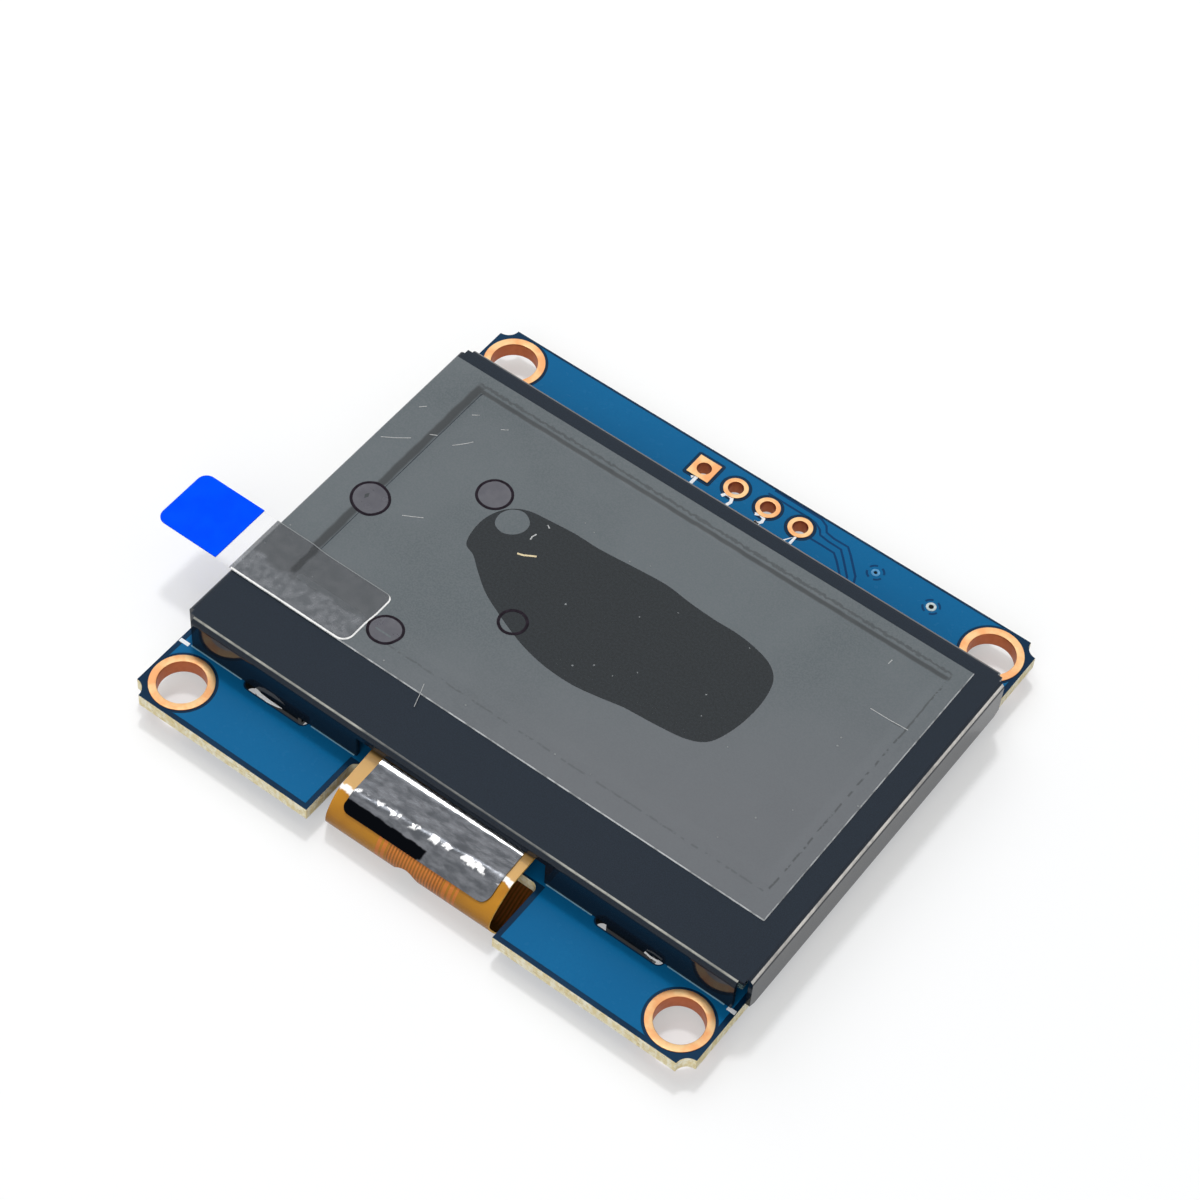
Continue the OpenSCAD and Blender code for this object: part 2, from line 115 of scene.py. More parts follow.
class Paint:
    """One Principled material, with helpers that drive its sockets by texture."""

    def __init__(self, name, color=(0.5, 0.5, 0.5, 1), rough=0.5, metal=0.0, **sockets):
        self.mat = bpy.data.materials.new(name)
        self.mat.use_nodes = True
        self.tree = self.mat.node_tree
        self.bsdf = self.tree.nodes["Principled BSDF"]
        self.set("Base Color", color)
        self.set("Roughness", rough)
        self.set("Metallic", metal)
        for key, v in sockets.items():
            self.set(key.replace("_", " "), v)
        self.coords = self.tree.nodes.new("ShaderNodeTexCoord")

    def set(self, socket, value):
        s = self.bsdf.inputs[socket]
        if isinstance(value, Val):
            self.tree.links.new(value.socket, s)
        else:
            s.default_value = value

    def link(self, output, socket):
        self.tree.links.new(output, self.bsdf.inputs[socket])

    def place(self, scale, space="Object"):
        """Coordinates in millimetres times scale, per axis."""
        m = self.tree.nodes.new("ShaderNodeMapping")
        s = [1000 * k for k in scale] if space == "Object" else scale
        m.inputs["Scale"].default_value = s
        self.tree.links.new(self.coords.outputs[space], m.inputs["Vector"])
        return m.outputs["Vector"]

    def axes(self, space="Object"):
        """The three coordinates, in millimetres."""
        n = self.tree.nodes.new("ShaderNodeSeparateXYZ")
        self.tree.links.new(self.place((1, 1, 1), space), n.inputs[0])
        return [Val(self.tree, n.outputs[i]) for i in range(3)]

    def noise(self, size, detail=3.0, rough=0.5, stretch=(1, 1, 1), space="Object"):
        """Noise whose grains are about size millimetres across."""
        n = self.tree.nodes.new("ShaderNodeTexNoise")
        n.inputs["Scale"].default_value = 1.0 / size
        n.inputs["Detail"].default_value = detail
        n.inputs["Roughness"].default_value = rough
        self.tree.links.new(self.place(stretch, space), n.inputs["Vector"])
        return Val(self.tree, n.outputs[0])

    def normal(self, axis):
        g = self.tree.nodes.new("ShaderNodeNewGeometry")
        n = self.tree.nodes.new("ShaderNodeSeparateXYZ")
        self.tree.links.new(g.outputs["Normal"], n.inputs[0])
        return Val(self.tree, n.outputs[axis])

    def mix(self, factor, a, b):
        """A colour between a and b, each a colour or another mix."""
        n = self.tree.nodes.new("ShaderNodeMix")
        n.data_type = "RGBA"
        self.tree.links.new(factor.socket, n.inputs["Factor"])
        for key, c in ((6, a), (7, b)):
            if isinstance(c, tuple):
                n.inputs[key].default_value = c
            else:
                self.tree.links.new(c, n.inputs[key])
        return n.outputs[2]

    def bump(self, height, depth, strength=1.0):
        """height from 0 to 1, depth in millimetres."""
        n = self.tree.nodes.new("ShaderNodeBump")
        n.inputs["Strength"].default_value = strength
        n.inputs["Distance"].default_value = depth * MM
        self.tree.links.new(height.socket, n.inputs["Height"])
        self.tree.links.new(n.outputs[0], self.bsdf.inputs["Normal"])


# ---- materials ----

def solder_mask(name, light, dark):
    p = Paint(name, rough=0.22, Specular_IOR_Level=0.08)
    tone = p.noise(9, 2).ramp(0.3, 0.7)
    fine = p.noise(0.12, 3).ramp(0.25, 0.75)
    p.link(p.mix(fine, p.mix(tone, light, dark), light), "Base Color")
    p.set("Roughness", p.noise(0.6, 3).ramp(0.3, 0.7, 0.16, 0.28))
    p.bump(p.noise(0.35, 3), 0.004, 0.35)
    return p.mat


def board_paint():
    """Blue mask on the board's faces, cream glass-fibre laminate on its cut edges, and painted
    shade that darkens the slots' inner walls.
    """
    p = Paint("board_paint", rough=0.3, Specular_IOR_Level=0.1)
    edge = p.normal(2).abs().ramp(0.6, 0.4)
    x, y, _ = p.axes()
    # Painted shade: the walls inside the bezel's slots are dark instead of cream.
    slot_shade = y.abs().ramp(14.75, 14.65) * y.abs().ramp(13.3, 13.4)
    slot_shade = slot_shade * x.abs().ramp(10.6, 10.8) * x.abs().ramp(16.3, 16.1)
    weave = p.noise(0.35, 4, 0.6, (1, 1, 0.55))
    layers = p.noise(0.16, 2, 0.5, (0.4, 0.4, 3.2))
    cream = p.mix(weave.ramp(0.35, 0.65), rgb(238, 222, 172), rgb(255, 250, 226))
    cream = p.mix(layers.ramp(0.58, 0.72), cream, rgb(205, 184, 128))
    blue = p.mix(p.noise(5, 2).ramp(0.3, 0.7), rgb(10, 40, 66), rgb(14, 50, 78))
    cream = p.mix(slot_shade, cream, rgb(14, 16, 16))
    p.link(p.mix(edge, blue, cream), "Base Color")
    p.set("Roughness", edge.ramp(0, 1, 0.2, 0.75))
    p.bump(p.noise(0.22, 4, 0.65) * edge, 0.09, 0.8)
    return p.mat


def copper_paint():
    """Bare copper: pale on the flat, with painted shade that makes it darker on the rounded rims
    and brown in the barrels.
    """
    p = Paint("copper_paint", rough=0.45, metal=1.0)
    tone = p.noise(1.2, 3).ramp(0.35, 0.65)
    up = p.normal(2).abs()
    flat = p.mix(tone, rgb(255, 214, 158), rgb(252, 184, 126))
    # Painted shade by how far the surface tilts from level: darker rims, brown barrel walls.
    rim = p.mix(up.ramp(0.75, 0.97), rgb(214, 132, 86), flat)
    p.link(p.mix(up.ramp(0.2, 0.6), rgb(186, 108, 70), rim), "Base Color")
    p.set("Roughness", p.noise(0.3, 3).ramp(0.3, 0.7, 0.38, 0.5))
    p.bump(p.noise(0.2, 3), 0.006, 0.4)
    return p.mat


def bezel_paint():
    """Satin black on the face, gloss on the walls, painted highlights along three of the bends."""
    p = Paint("bezel_paint", rough=0.3, Specular_IOR_Level=0.24)
    face = p.normal(2).abs().ramp(0.985, 0.999)
    grain = p.noise(0.07, 3).ramp(0.35, 0.65)
    black = p.mix(grain, rgb(17, 26, 36), rgb(23, 34, 46))
    # Painted highlights along the near, right and far bends, broken up by noise.
    highlight_breakup = p.noise(1.5, 4, 0.6).ramp(0.3, 0.6, 0.55, 1.0)
    toward = p.normal(1) * -1.0
    notch = p.axes()[0].abs().ramp(6.6, 7.4, 0.3, 1.0)
    near_line = toward.ramp(0.1, 0.16) * toward.ramp(0.5, 0.36) * highlight_breakup * notch
    right = p.normal(0)
    right_line = right.ramp(0.5, 0.6) * right.ramp(0.92, 0.84) * highlight_breakup
    far_line = p.normal(1).ramp(0.25, 0.5) * p.normal(2).ramp(0.1, 0.3) * 0.7
    tone = p.mix(far_line, black, rgb(104, 106, 106))
    tone = p.mix(near_line, tone, rgb(160, 160, 152))
    p.link(p.mix(right_line, tone, rgb(214, 210, 204)), "Base Color")
    p.set("Roughness", face.ramp(0, 1, 0.09, 0.42))
    p.bump(p.noise(0.09, 3) * face, 0.006, 0.5)
    return p.mat


def shade_line(value, at, half, edge, ends, wander):
    """A painted shade line where value is near at, half wide with a soft edge. ends is the axis
    that it runs along and its two ends there."""
    along, a, b = ends
    cut = along.ramp(a - 0.2, a + 0.2) * along.ramp(b + 0.2, b - 0.2)
    return (value + wander - at).abs().ramp(half + edge, half) * cut


def film_paint(name, window_shade):
    """Grey protective film with painted shade lines where it dips into the window."""
    p = Paint(name, rough=0.14, Specular_IOR_Level=0.45)
    x, y, _ = p.axes()
    left, right, near, far = window_shade
    slow = p.noise(1.2, 2).ramp(0.3, 0.7, -0.03, 0.03)
    fast = p.noise(0.35, 3).ramp(0.3, 0.7, -0.07, 0.07)
    dashes = p.noise(0.5, 2).ramp(0.44, 0.54)
    # The dark lines are painted shade along the window's edges, where the film bends down into it.
    left_line = shade_line(x, left, 0.16, 0.22, (y, near + 0.3, far), slow) * 0.8
    far_smooth = shade_line(y, far - 0.28, 0.07, 0.14, (x, left, right), slow * 0.5) * 0.75
    far_jagged = shade_line(y, far + 0.14, 0.04, 0.11, (x, left - 0.2, right), fast) * 0.5
    right_line = shade_line(x, right, 0.02, 0.09, (y, near, far), slow) * dashes * 0.6
    near_line = shade_line(y, near, 0.02, 0.09, (x, left, right), slow) * dashes * 0.3
    line = left_line.max(far_smooth).max(far_jagged).max(right_line).max(near_line)
    haze = p.noise(8, 2).ramp(0.35, 0.65)
    warm = (x * 0.6 - y).ramp(-3, 14)
    grey = p.mix(haze, rgb(79, 88, 92), rgb(87, 95, 99))
    grey = p.mix(warm * 0.6, grey, rgb(98, 98, 103))
    grey = p.mix(p.noise(0.11, 2).ramp(0.3, 0.7) * 0.6, grey, rgb(96, 101, 105))
    p.link(p.mix(line, grey, rgb(40, 43, 45)), "Base Color")
    p.set("Roughness", p.noise(1.1, 3).ramp(0.3, 0.7, 0.1, 0.2))
    p.bump(p.noise(1.6, 2), 0.008, 0.2)
    return p.mat


def wet_paint():
    """The dark patch where the film clings to the polarizer."""
    p = Paint("film_wet_paint", rough=0.2, Specular_IOR_Level=0.4)
    p.link(p.mix(p.noise(0.15, 2).ramp(0.3, 0.7), rgb(15, 22, 26), rgb(25, 32, 37)), "Base Color")
    p.bump(p.noise(0.1, 2), 0.002, 0.3)
    return p.mat


def tab_paint(stuck_from, split):
    """Clear tape: almost unseen where it is free, smoky and mottled where it lies on the film."""
    p = Paint("tab_film_paint", rough=0.16, Specular_IOR_Level=0.4)
    x, y, _ = p.axes()
    stuck = x.ramp(stuck_from - 0.02, stuck_from + 0.02)
    near = (y + p.noise(0.9, 3).ramp(0.3, 0.7, -0.35, 0.35)).ramp(split + 0.25, split - 0.25)
    blotch = p.noise(0.5, 2).ramp(0.3, 0.7)
    far_tone = p.mix(blotch, rgb(90, 94, 98), rgb(100, 103, 107))
    near_tone = p.mix(blotch, rgb(102, 106, 111), rgb(128, 131, 136))
    smoky = p.mix(near, far_tone, near_tone)
    wander = p.noise(0.7, 2).ramp(0.3, 0.7, -0.05, 0.05)
    # Painted shade along the window's left edge, seen through the tape.
    window_shade = shade_line(x, -17.75, 0.14, 0.16, (y, -7.5, -4.4), wander) * 0.85
    smoky = p.mix(window_shade, smoky, rgb(58, 61, 64))
    p.link(p.mix(stuck, rgb(250, 250, 250), smoky), "Base Color")
    p.set("Alpha", stuck.ramp(0, 1, 0.03, 0.62))
    p.bump(p.noise(0.4, 3), 0.006, 0.3)
    return p.mat


def cut_film_paint(name, bright, dull, near_edge):
    """A cut film edge with a painted highlight where it faces the near side or the right, in a
    broken line.
    """
    p = Paint(name, rough=0.3)
    facing = (p.normal(1) * -1.0).max(p.normal(0)).ramp(0.15, 0.5)
    broken = p.noise(0.7, 3).ramp(0.3, 0.6, near_edge, 1.0)
    p.link(p.mix(facing * broken, dull, bright), "Base Color")
    return p.mat


def foil_paint(dark, fold, top):
    """Crinkled foil with painted light. dark is the U and V range of its painted black reflection,
    fold the V of its crease, where painted highlights run, top the V where its painted highlight
    band along the top ends."""
    p = Paint("foil_paint", rough=0.2, metal=1.0)
    u, v, _ = p.axes("UV")
    streak = p.noise(0.5, 4, 0.6, (0.35, 1, 1), "UV").ramp(0.35, 0.65)
    grain = p.noise(0.06, 2, 0.5, (1, 1, 1), "UV").ramp(0.3, 0.7)
    grey = p.mix(streak, rgb(84, 87, 92), rgb(126, 128, 133))
    grey = p.mix(grain * 0.4, grey, rgb(104, 107, 111))
    u0, u1, v0, v1 = dark
    ragged = p.noise(0.7, 3, 0.5, (1, 1, 1), "UV").ramp(0.3, 0.7, -0.12, 0.12)
    # The painted black reflection.
    patch = (u + ragged).ramp(u0 - 0.05, u0) * (u + (v - v0) * 0.35 + ragged).ramp(u1 + 0.15, u1)
    upper_edge = (v - (u - u0) * 0.055 + ragged * 0.3).ramp(v0, v0 + 0.08)
    patch = patch * upper_edge * v.ramp(v1 + 0.05, v1)
    broken = p.noise(0.75, 3, 0.5, (1, 1, 1), "UV").ramp(0.5, 0.57)
    # Painted highlights: broken along the crease, and a band along the top edge.
    crease_highlight = (v + ragged * 0.6 - u * 0.045 - fold).abs().ramp(0.24, 0.1) * broken
    band = (v + ragged * 0.25).ramp(top + 0.05, top - 0.03)
    tone = p.mix(crease_highlight.max(band), grey, rgb(250, 250, 250))
    p.link(p.mix(patch, tone, rgb(10, 12, 16)), "Base Color")
    p.set("Roughness", p.noise(0.4, 2, 0.5, (1, 1, 1), "UV").ramp(0.3, 0.7, 0.16, 0.26))
    return p.mat


def simple(name, a, b, size, rough, metal=0.0, bump=0.0, detail=3.0, **more):
    """A two-tone mottled finish with light bump."""
    p = Paint(name, a, rough, metal, **more)
    p.link(p.mix(p.noise(size, detail).ramp(0.3, 0.7), a, b), "Base Color")
    low, high = max(rough - 0.06, 0.02), min(rough + 0.08, 1.0)
    p.set("Roughness", p.noise(size * 1.7, 2).ramp(0.3, 0.7, low, high))
    if bump:
        p.bump(p.noise(size * 0.5, 3), bump, 0.6)
    return p.mat


def flex_paint(name, light, dark, copper, between, shine, fold=None):
    """Cable: wide and narrow copper tracks run along it. U is millimetres across, V along.
    fold is the V of its upper fold, for a side that shows painted light there."""
    p = Paint(name, rough=0.16, Specular_IOR_Level=shine)
    u, v, _ = p.axes("UV")
    tracks = (u * 4.6).fract().ramp(0.30, 0.40) * (u * 4.6).fract().ramp(0.92, 0.82)
    wide = (u * 2.4).fract().ramp(0.18, 0.26) * (u * 2.4).fract().ramp(0.88, 0.80)
    mid = u.ramp(-1.6, -1.58) * u.ramp(2.5, 2.48)
    band = u.ramp(-2.42, -2.4) * u.ramp(3.62, 3.6)
    lines = (tracks * mid).max(wide * band * (mid * -1.0 + 1.0))
    tail = v.ramp(8.0, 8.6)
    all_over = (tracks * tail).max(lines)
    tone = p.noise(2.5, 2).ramp(0.3, 0.7)
    amber = p.mix(mid * 0.6, p.mix(tone, light, dark), between)
    tone = p.mix(all_over, amber, copper)
    if fold:
        # Painted light: a highlight along the fold, painted shadow where the cable comes out from
        # under the bezel, painted shade towards the nose; above the fold the amber is paler.
        fold_highlight = (v + p.noise(0.6, 2).ramp(0.3, 0.7, -0.1, 0.1) - fold).abs().ramp(0.26, 0.12)
        upper = v.ramp(fold + 0.2, fold - 0.2) * 0.4
        tone = p.mix(upper, tone, rgb(236, 206, 150))
        tone = p.mix(fold_highlight, tone, rgb(255, 252, 244))
        tone = p.mix(v.ramp(1.75, 1.5) * 0.85, tone, rgb(16, 13, 10))
        tone = p.mix(v.ramp(fold + 0.6, fold + 2.8) * 0.5, tone, rgb(96, 54, 6))
    p.link(tone, "Base Color")
    p.set("Roughness", p.noise(0.5, 2).ramp(0.3, 0.7, 0.14, 0.24))
    p.bump(all_over, 0.012, 0.6)
    return p.mat


MASK = solder_mask("pour_paint", rgb(8, 92, 140), rgb(13, 98, 146))
BOARD = board_paint()
COPPER = copper_paint()
BEZEL = bezel_paint()
GROOVE = solder_mask("groove_paint", rgb(8, 55, 97), rgb(11, 63, 107))
SILK = simple("silkscreen_paint", rgb(236, 238, 240), rgb(222, 226, 230), 0.3, 0.55, bump=0.004)
CABLE_FOLD = 4.08
FLEX = flex_paint("flex_paint", rgb(190, 130, 16), rgb(168, 110, 12),
                  rgb(214, 124, 44), rgb(140, 76, 14), 0.35, CABLE_FOLD)
# The loop's inner side: the same cable in darker tones, painted shade.
FLEX_INSIDE = flex_paint("flex_inside_paint", rgb(92, 60, 16), rgb(74, 46, 10),
                         rgb(112, 62, 26), rgb(60, 34, 8), 0.1)
SOLDER = simple("solder_paint", rgb(205, 207, 210), rgb(178, 181, 186), 0.3, 0.24,
                metal=1.0, bump=0.01)
POLARIZER = simple("polarizer_paint", rgb(20, 21, 23), rgb(27, 28, 31), 1.5, 0.12)
GLASS = simple("panel_glass_paint", rgb(120, 140, 138), rgb(104, 126, 124), 4, 0.06, Alpha=0.6)
PIXELS = simple("pixel_layer_paint", rgb(60, 60, 68), rgb(70, 70, 80), 0.5, 0.3)
GETTER = simple("getter_paint", rgb(222, 220, 208), rgb(206, 203, 190), 0.5, 0.8, bump=0.01)
SILICON = simple("silicon_paint", rgb(86, 90, 100), rgb(70, 74, 86), 1.0, 0.18)
FOAM = simple("foam_paint", rgb(22, 22, 23), rgb(34, 34, 35), 0.12, 0.85, bump=0.03)
TAN = simple("capacitor_paint", rgb(178, 150, 112), rgb(160, 132, 96), 0.2, 0.45, bump=0.004)
CHIP = simple("resistor_paint", rgb(26, 26, 28), rgb(36, 36, 39), 0.15, 0.35, bump=0.004)
EPOXY = simple("epoxy_paint", rgb(34, 34, 36), rgb(46, 46, 48), 0.08, 0.6, bump=0.008)
BLUE = simple("grip_paint", rgb(0, 70, 236), rgb(0, 76, 246), 1.2, 0.6,
              bump=0.002, Specular_IOR_Level=0.02)
# Cut edges of the film and the tab, with painted highlights.
EDGE = cut_film_paint("cut_film_paint", rgb(205, 208, 210), rgb(92, 96, 99), 0.25)
TAB_EDGE = cut_film_paint("cut_tab_paint", rgb(250, 250, 248), rgb(128, 132, 134), 0.85)
RIM = simple("bubble_rim_paint", rgb(22, 16, 24), rgb(36, 29, 38), 0.4, 0.3,
             Specular_IOR_Level=0.08)
BUBBLE = simple("bubble_paint", rgb(88, 88, 96), rgb(96, 96, 103), 0.8, 0.2, Alpha=0.8)
DUST = simple("dust_paint", rgb(186, 188, 188), rgb(150, 152, 152), 0.1, 0.7)
SPECK = simple("speck_paint", rgb(132, 136, 137), rgb(104, 108, 110), 0.1, 0.7)
FIBRE = simple("fibre_paint", rgb(226, 210, 172), rgb(200, 184, 146), 0.1, 0.6)
STEEL_HIGHLIGHT = simple("bare_steel_highlight_paint", rgb(255, 255, 255), rgb(244, 246, 244), 0.3, 0.5)
PALE = simple("pale_edge_line_paint", rgb(112, 162, 186), rgb(140, 180, 198), 0.6, 0.5)
TENTED = simple("tented_via_paint", rgb(84, 150, 192), rgb(60, 128, 176), 0.2, 0.3)
TIN = simple("via_tin_paint", rgb(196, 208, 208), rgb(168, 184, 186), 0.2, 0.4)
BORE_SHADE = simple("via_bore_shade_paint", rgb(10, 12, 14), rgb(22, 24, 26), 0.2, 0.7, Specular_IOR_Level=0.1)


# ---- meshes ----

def inside(x, y, loop):
    """Whether a point lies in a closed outline."""
    hit = False
    for i in range(len(loop)):
        (x1, y1), (x2, y2) = loop[i - 1], loop[i]
        if (y1 > y) != (y2 > y) and x < (x2 - x1) * (y - y1) / (y2 - y1) + x1:
            hit = not hit
    return hit


def circle(cx, cy, r, n=48):
    angles = [TURN * i / n for i in range(n)]
    return [(cx + r * math.cos(a), cy + r * math.sin(a)) for a in angles]


def rounded(x0, y0, x1, y1, radii, n=8):
    """A rectangle whose corners, from the lower left and counter-clockwise, have these radii."""
    out = []
    corners = [(x0, y0, 1, 1, 180), (x1, y0, -1, 1, 270), (x1, y1, -1, -1, 0), (x0, y1, 1, -1, 90)]
    for (x, y, sx, sy, a), r in zip(corners, radii):
        if r <= 0:
            out.append((x, y))
            continue
        for i in range(n + 1):
            t = math.radians(a + 90 * i / n)
            out.append((x + sx * r + r * math.cos(t), y + sy * r + r * math.sin(t)))
    return out


def smooth_loop(points, per=5):
    """A closed Catmull-Rom curve through points."""
    out, n = [], len(points)
    for i in range(n):
        p0, p1, p2, p3 = (points[(i + k) % n] for k in (-1, 0, 1, 2))
        for j in range(per):
            t = j / per
            out.append(tuple(
                0.5 * (2 * b + (c - a) * t + (2 * a - 5 * b + 4 * c - d) * t * t
                       + (3 * b - a - 3 * c + d) * t ** 3)
                for a, b, c, d in zip(p0, p1, p2, p3)))
    return out


def strip(points, width):
    """The outline of a line of that width through points."""
    left, right = [], []
    for i, p in enumerate(points):
        a, b = points[max(i - 1, 0)], points[min(i + 1, len(points) - 1)]
        d = Vector((b[0] - a[0], b[1] - a[1])).normalized() * width / 2
        left.append((p[0] - d.y, p[1] + d.x))
        right.append((p[0] + d.y, p[1] - d.x))
    return left + right[::-1]


def dense(loop, step):
    """The same outline with no edge longer than step."""
    out = []
    for i in range(len(loop)):
        a, b = loop[i], loop[(i + 1) % len(loop)]
        n = max(1, math.ceil(math.dist(a, b) / step))
        out += [(a[0] + (b[0] - a[0]) * k / n, a[1] + (b[1] - a[1]) * k / n) for k in range(n)]
    return out


def flat_mesh(outline, holes=(), regions=(), grid=0.0):
    """Triangles that fill outline less holes, with edges along each region's border. grid adds
    points inside, about that far apart. Returns points, triangles, and for each triangle the
    number of the last region it is in, from 1."""
    loops = [outline, *holes, *regions]
    points, edges = [], []
    for loop in loops:
        first = len(points)
        points += loop
        edges += [(first + i, first + (i + 1) % len(loop)) for i in range(len(loop))]
    if grid:
        xs, ys = [p[0] for p in outline], [p[1] for p in outline]
        nx, ny = int((max(xs) - min(xs)) / grid), int((max(ys) - min(ys)) / grid)
        for i in range(1, nx):
            for j in range(1, ny):
                x = min(xs) + (max(xs) - min(xs)) * (i + 0.25 * (j % 2)) / nx
                y = min(ys) + (max(ys) - min(ys)) * j / ny
                if inside(x, y, outline):
                    points.append((x, y))
    found = delaunay_2d_cdt([Vector(p) for p in points], edges, [], 0, 1e-5)
    verts = [(v.x, v.y) for v in found[0]]
    tris, which = [], []
    for f in found[2]:
        x = sum(verts[i][0] for i in f) / 3
        y = sum(verts[i][1] for i in f) / 3
        if inside(x, y, outline) and not any(inside(x, y, h) for h in holes):
            tris.append(tuple(f))
            which.append(max([k + 1 for k, r in enumerate(regions) if inside(x, y, r)], default=0))
    used = sorted({i for f in tris for i in f})
    index = {v: i for i, v in enumerate(used)}
    return [verts[i] for i in used], [tuple(index[i] for i in f) for f in tris], which


def piece(name, verts, faces, slot, materials, which=None, sharp=35.0, uv=None):
    """A mesh object from points in millimetres, riding on the board."""
    mesh = bpy.data.meshes.new(name)
    mesh.from_pydata([Vector(v) * MM for v in verts], [], faces)
    for m in materials:
        mesh.materials.append(m)
    if which:
        mesh.polygons.foreach_set("material_index", which)
    if uv:
        layer = mesh.uv_layers.new(name="UVMap")
        for loop in mesh.loops:
            layer.data[loop.index].uv = uv[loop.vertex_index]
    mesh.polygons.foreach_set("use_smooth", [True] * len(mesh.polygons))
    mesh.update()
    faces_at = {}
    for f in mesh.polygons:
        for key in f.edge_keys:
            faces_at.setdefault(key, []).append(f.normal)
    limit = math.cos(math.radians(sharp))
    for e in mesh.edges:
        near = faces_at.get(tuple(sorted(e.vertices)), [])
        e.use_edge_sharp = len(near) == 2 and near[0].dot(near[1]) < limit
    mesh.validate()
    o = bpy.data.objects.new(name, mesh)
    bpy.context.scene.collection.objects.link(o)
    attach(o, "root")
    return o


def sheet_solid(points, tris, place, thick, bevel=0.0, flip=False):
    """A closed thin solid on a flat pattern. place(x, y) gives a point and the outward normal;
    the outer face's rim is drawn in by bevel; flip is for a place that mirrors the pattern.
    Returns points, faces, the rim's first face, pattern points."""
    count = {}
    for f in tris:
        for a, b in ((f[0], f[1]), (f[1], f[2]), (f[2], f[0])):
            count[(a, b)] = count.get((a, b), 0) + 1
    rim = [e for e in count if (e[1], e[0]) not in count]
    pull = {}
    for a, b in rim:
        d = Vector((points[b][0] - points[a][0], points[b][1] - points[a][1])).normalized()
        for i in (a, b):
            pull[i] = pull.get(i, Vector((0, 0))) + Vector((-d.y, d.x))
    top, bottom = [], []
    for i, (x, y) in enumerate(points):
        at, n = place(x, y)
        bottom.append(at - n * thick)
        if bevel and i in pull and pull[i].length > 0.01:
            d = pull[i].normalized() * bevel
            at, n = place(x + d.x, y + d.y)
        top.append(at)
    n = len(points)
    faces = list(tris) + [tuple(n + i for i in reversed(f)) for f in tris]
    first_rim = len(faces)
    faces += [(a, n + a, n + b, b) for a, b in rim]
    if flip:
        faces = [f[::-1] for f in faces]
    return top + bottom, faces, first_rim, list(points) * 2


def level(z):
    """A place for sheet_solid: flat, at height z."""
    return lambda x, y: (Vector((x, y, z)), Vector((0, 0, 1)))


def lathe(profile, cx, cy, n=96):
    """A closed ring: profile is (radius, z) points, counter-clockwise."""
    verts, faces, k = [], [], len(profile)
    for i in range(n):
        t = 2 * math.pi * i / n
        verts += [(cx + r * math.cos(t), cy + r * math.sin(t), z) for r, z in profile]
    for i in range(n):
        for j in range(k):
            a, b = i * k + j, i * k + (j + 1) % k
            c, d = (a + k) % (n * k), (b + k) % (n * k)
            faces.append((a, c, d, b))
    return verts, faces


def join(parts):
    """One mesh from several, each its points and faces."""
    verts, faces = [], []
    for v, f in parts:
        faces += [tuple(i + len(verts) for i in face) for face in f]
        verts += v
    return verts, faces


def mm_box(node):
    """A node's two corners, in millimetres."""
    lo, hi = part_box(node)
    return [c / MM for c in lo], [c / MM for c in hi]


# ---- places from the frame ----

(bx0, by0, bz0), (bx1, by1, bz1) = mm_box("board")
wx0 = mm_box("bezel")[0][0]
(fx0, fy0, fz0), (fx1, fy1, fz1) = mm_box("protective_film")
(tx0, ty0, tz0), (tx1, ty1, tz1) = mm_box("pull_tab")
cable = mm_box("flat_cable")
ring = mm_box("hole_ring_back_right")
hole_x, hole_y = (ring[0][0] + ring[1][0]) / 2, (ring[0][1] + ring[1][1]) / 2
ring_r = (ring[1][0] - ring[0][0]) / 2
pins = [mm_box(f"pin_pad_{i}") for i in range(1, 5)]
pin_at = [((lo[0] + hi[0]) / 2, (lo[1] + hi[1]) / 2) for lo, hi in pins]
pad_r = (pins[1][1][0] - pins[1][0][0]) / 2
rim_z0, rim_z1 = ring[0][2], ring[1][2]
HOLE_R, PIN_R = 1.55, 0.5
NOTCH_X, NOTCH_Y = 7.05, -14.5
SLOTS = [(sx * 13.45, sy * 14.075) for sx in (-1, 1) for sy in (-1, 1)]
SLOT_HALF = (2.45, 0.425)


# ---- plated holes ----

def plated(cx, cy, bore, outer):
    """A rounded copper eyelet with a thin barrel."""
    wall = bore + 0.05
    profile = [
        (bore, 0.06), (bore, 0.94), (bore + 0.008, 1.02), (bore + 0.03, 1.055),
        (bore + 0.07, rim_z1),
        (outer - 0.05, rim_z1), (outer - 0.012, rim_z1 - 0.012), (outer, rim_z1 - 0.03),
        (outer, 1.004), (wall, 1.004), (wall, -0.004), (outer, -0.004),
        (outer, rim_z0 + 0.03), (outer - 0.012, rim_z0 + 0.012), (outer - 0.05, rim_z0),
        (bore + 0.07, rim_z0), (bore + 0.03, -0.055), (bore + 0.008, -0.02)]
    return lathe(profile, cx, cy)


for side_y, yn in ((-1, "front"), (1, "back")):
    for side_x, xn in ((-1, "left"), (1, "right")):
        name = f"hole_ring_{yn}_{xn}"
        v, f = plated(side_x * hole_x, side_y * hole_y, HOLE_R, ring_r)
        o = piece(f"eyelet_{yn}_{xn}", v, f, "copper_plating", [COPPER])
        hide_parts(name)
for i, (x, y) in enumerate(pin_at[1:], 2):
    v, f = plated(x, y, PIN_R, pad_r)
    o = piece(f"pin_eyelet_{i}", v, f, "copper_plating", [COPPER])
    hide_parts(f"pin_pad_{i}")


# ---- copper pour and print under and on the mask ----

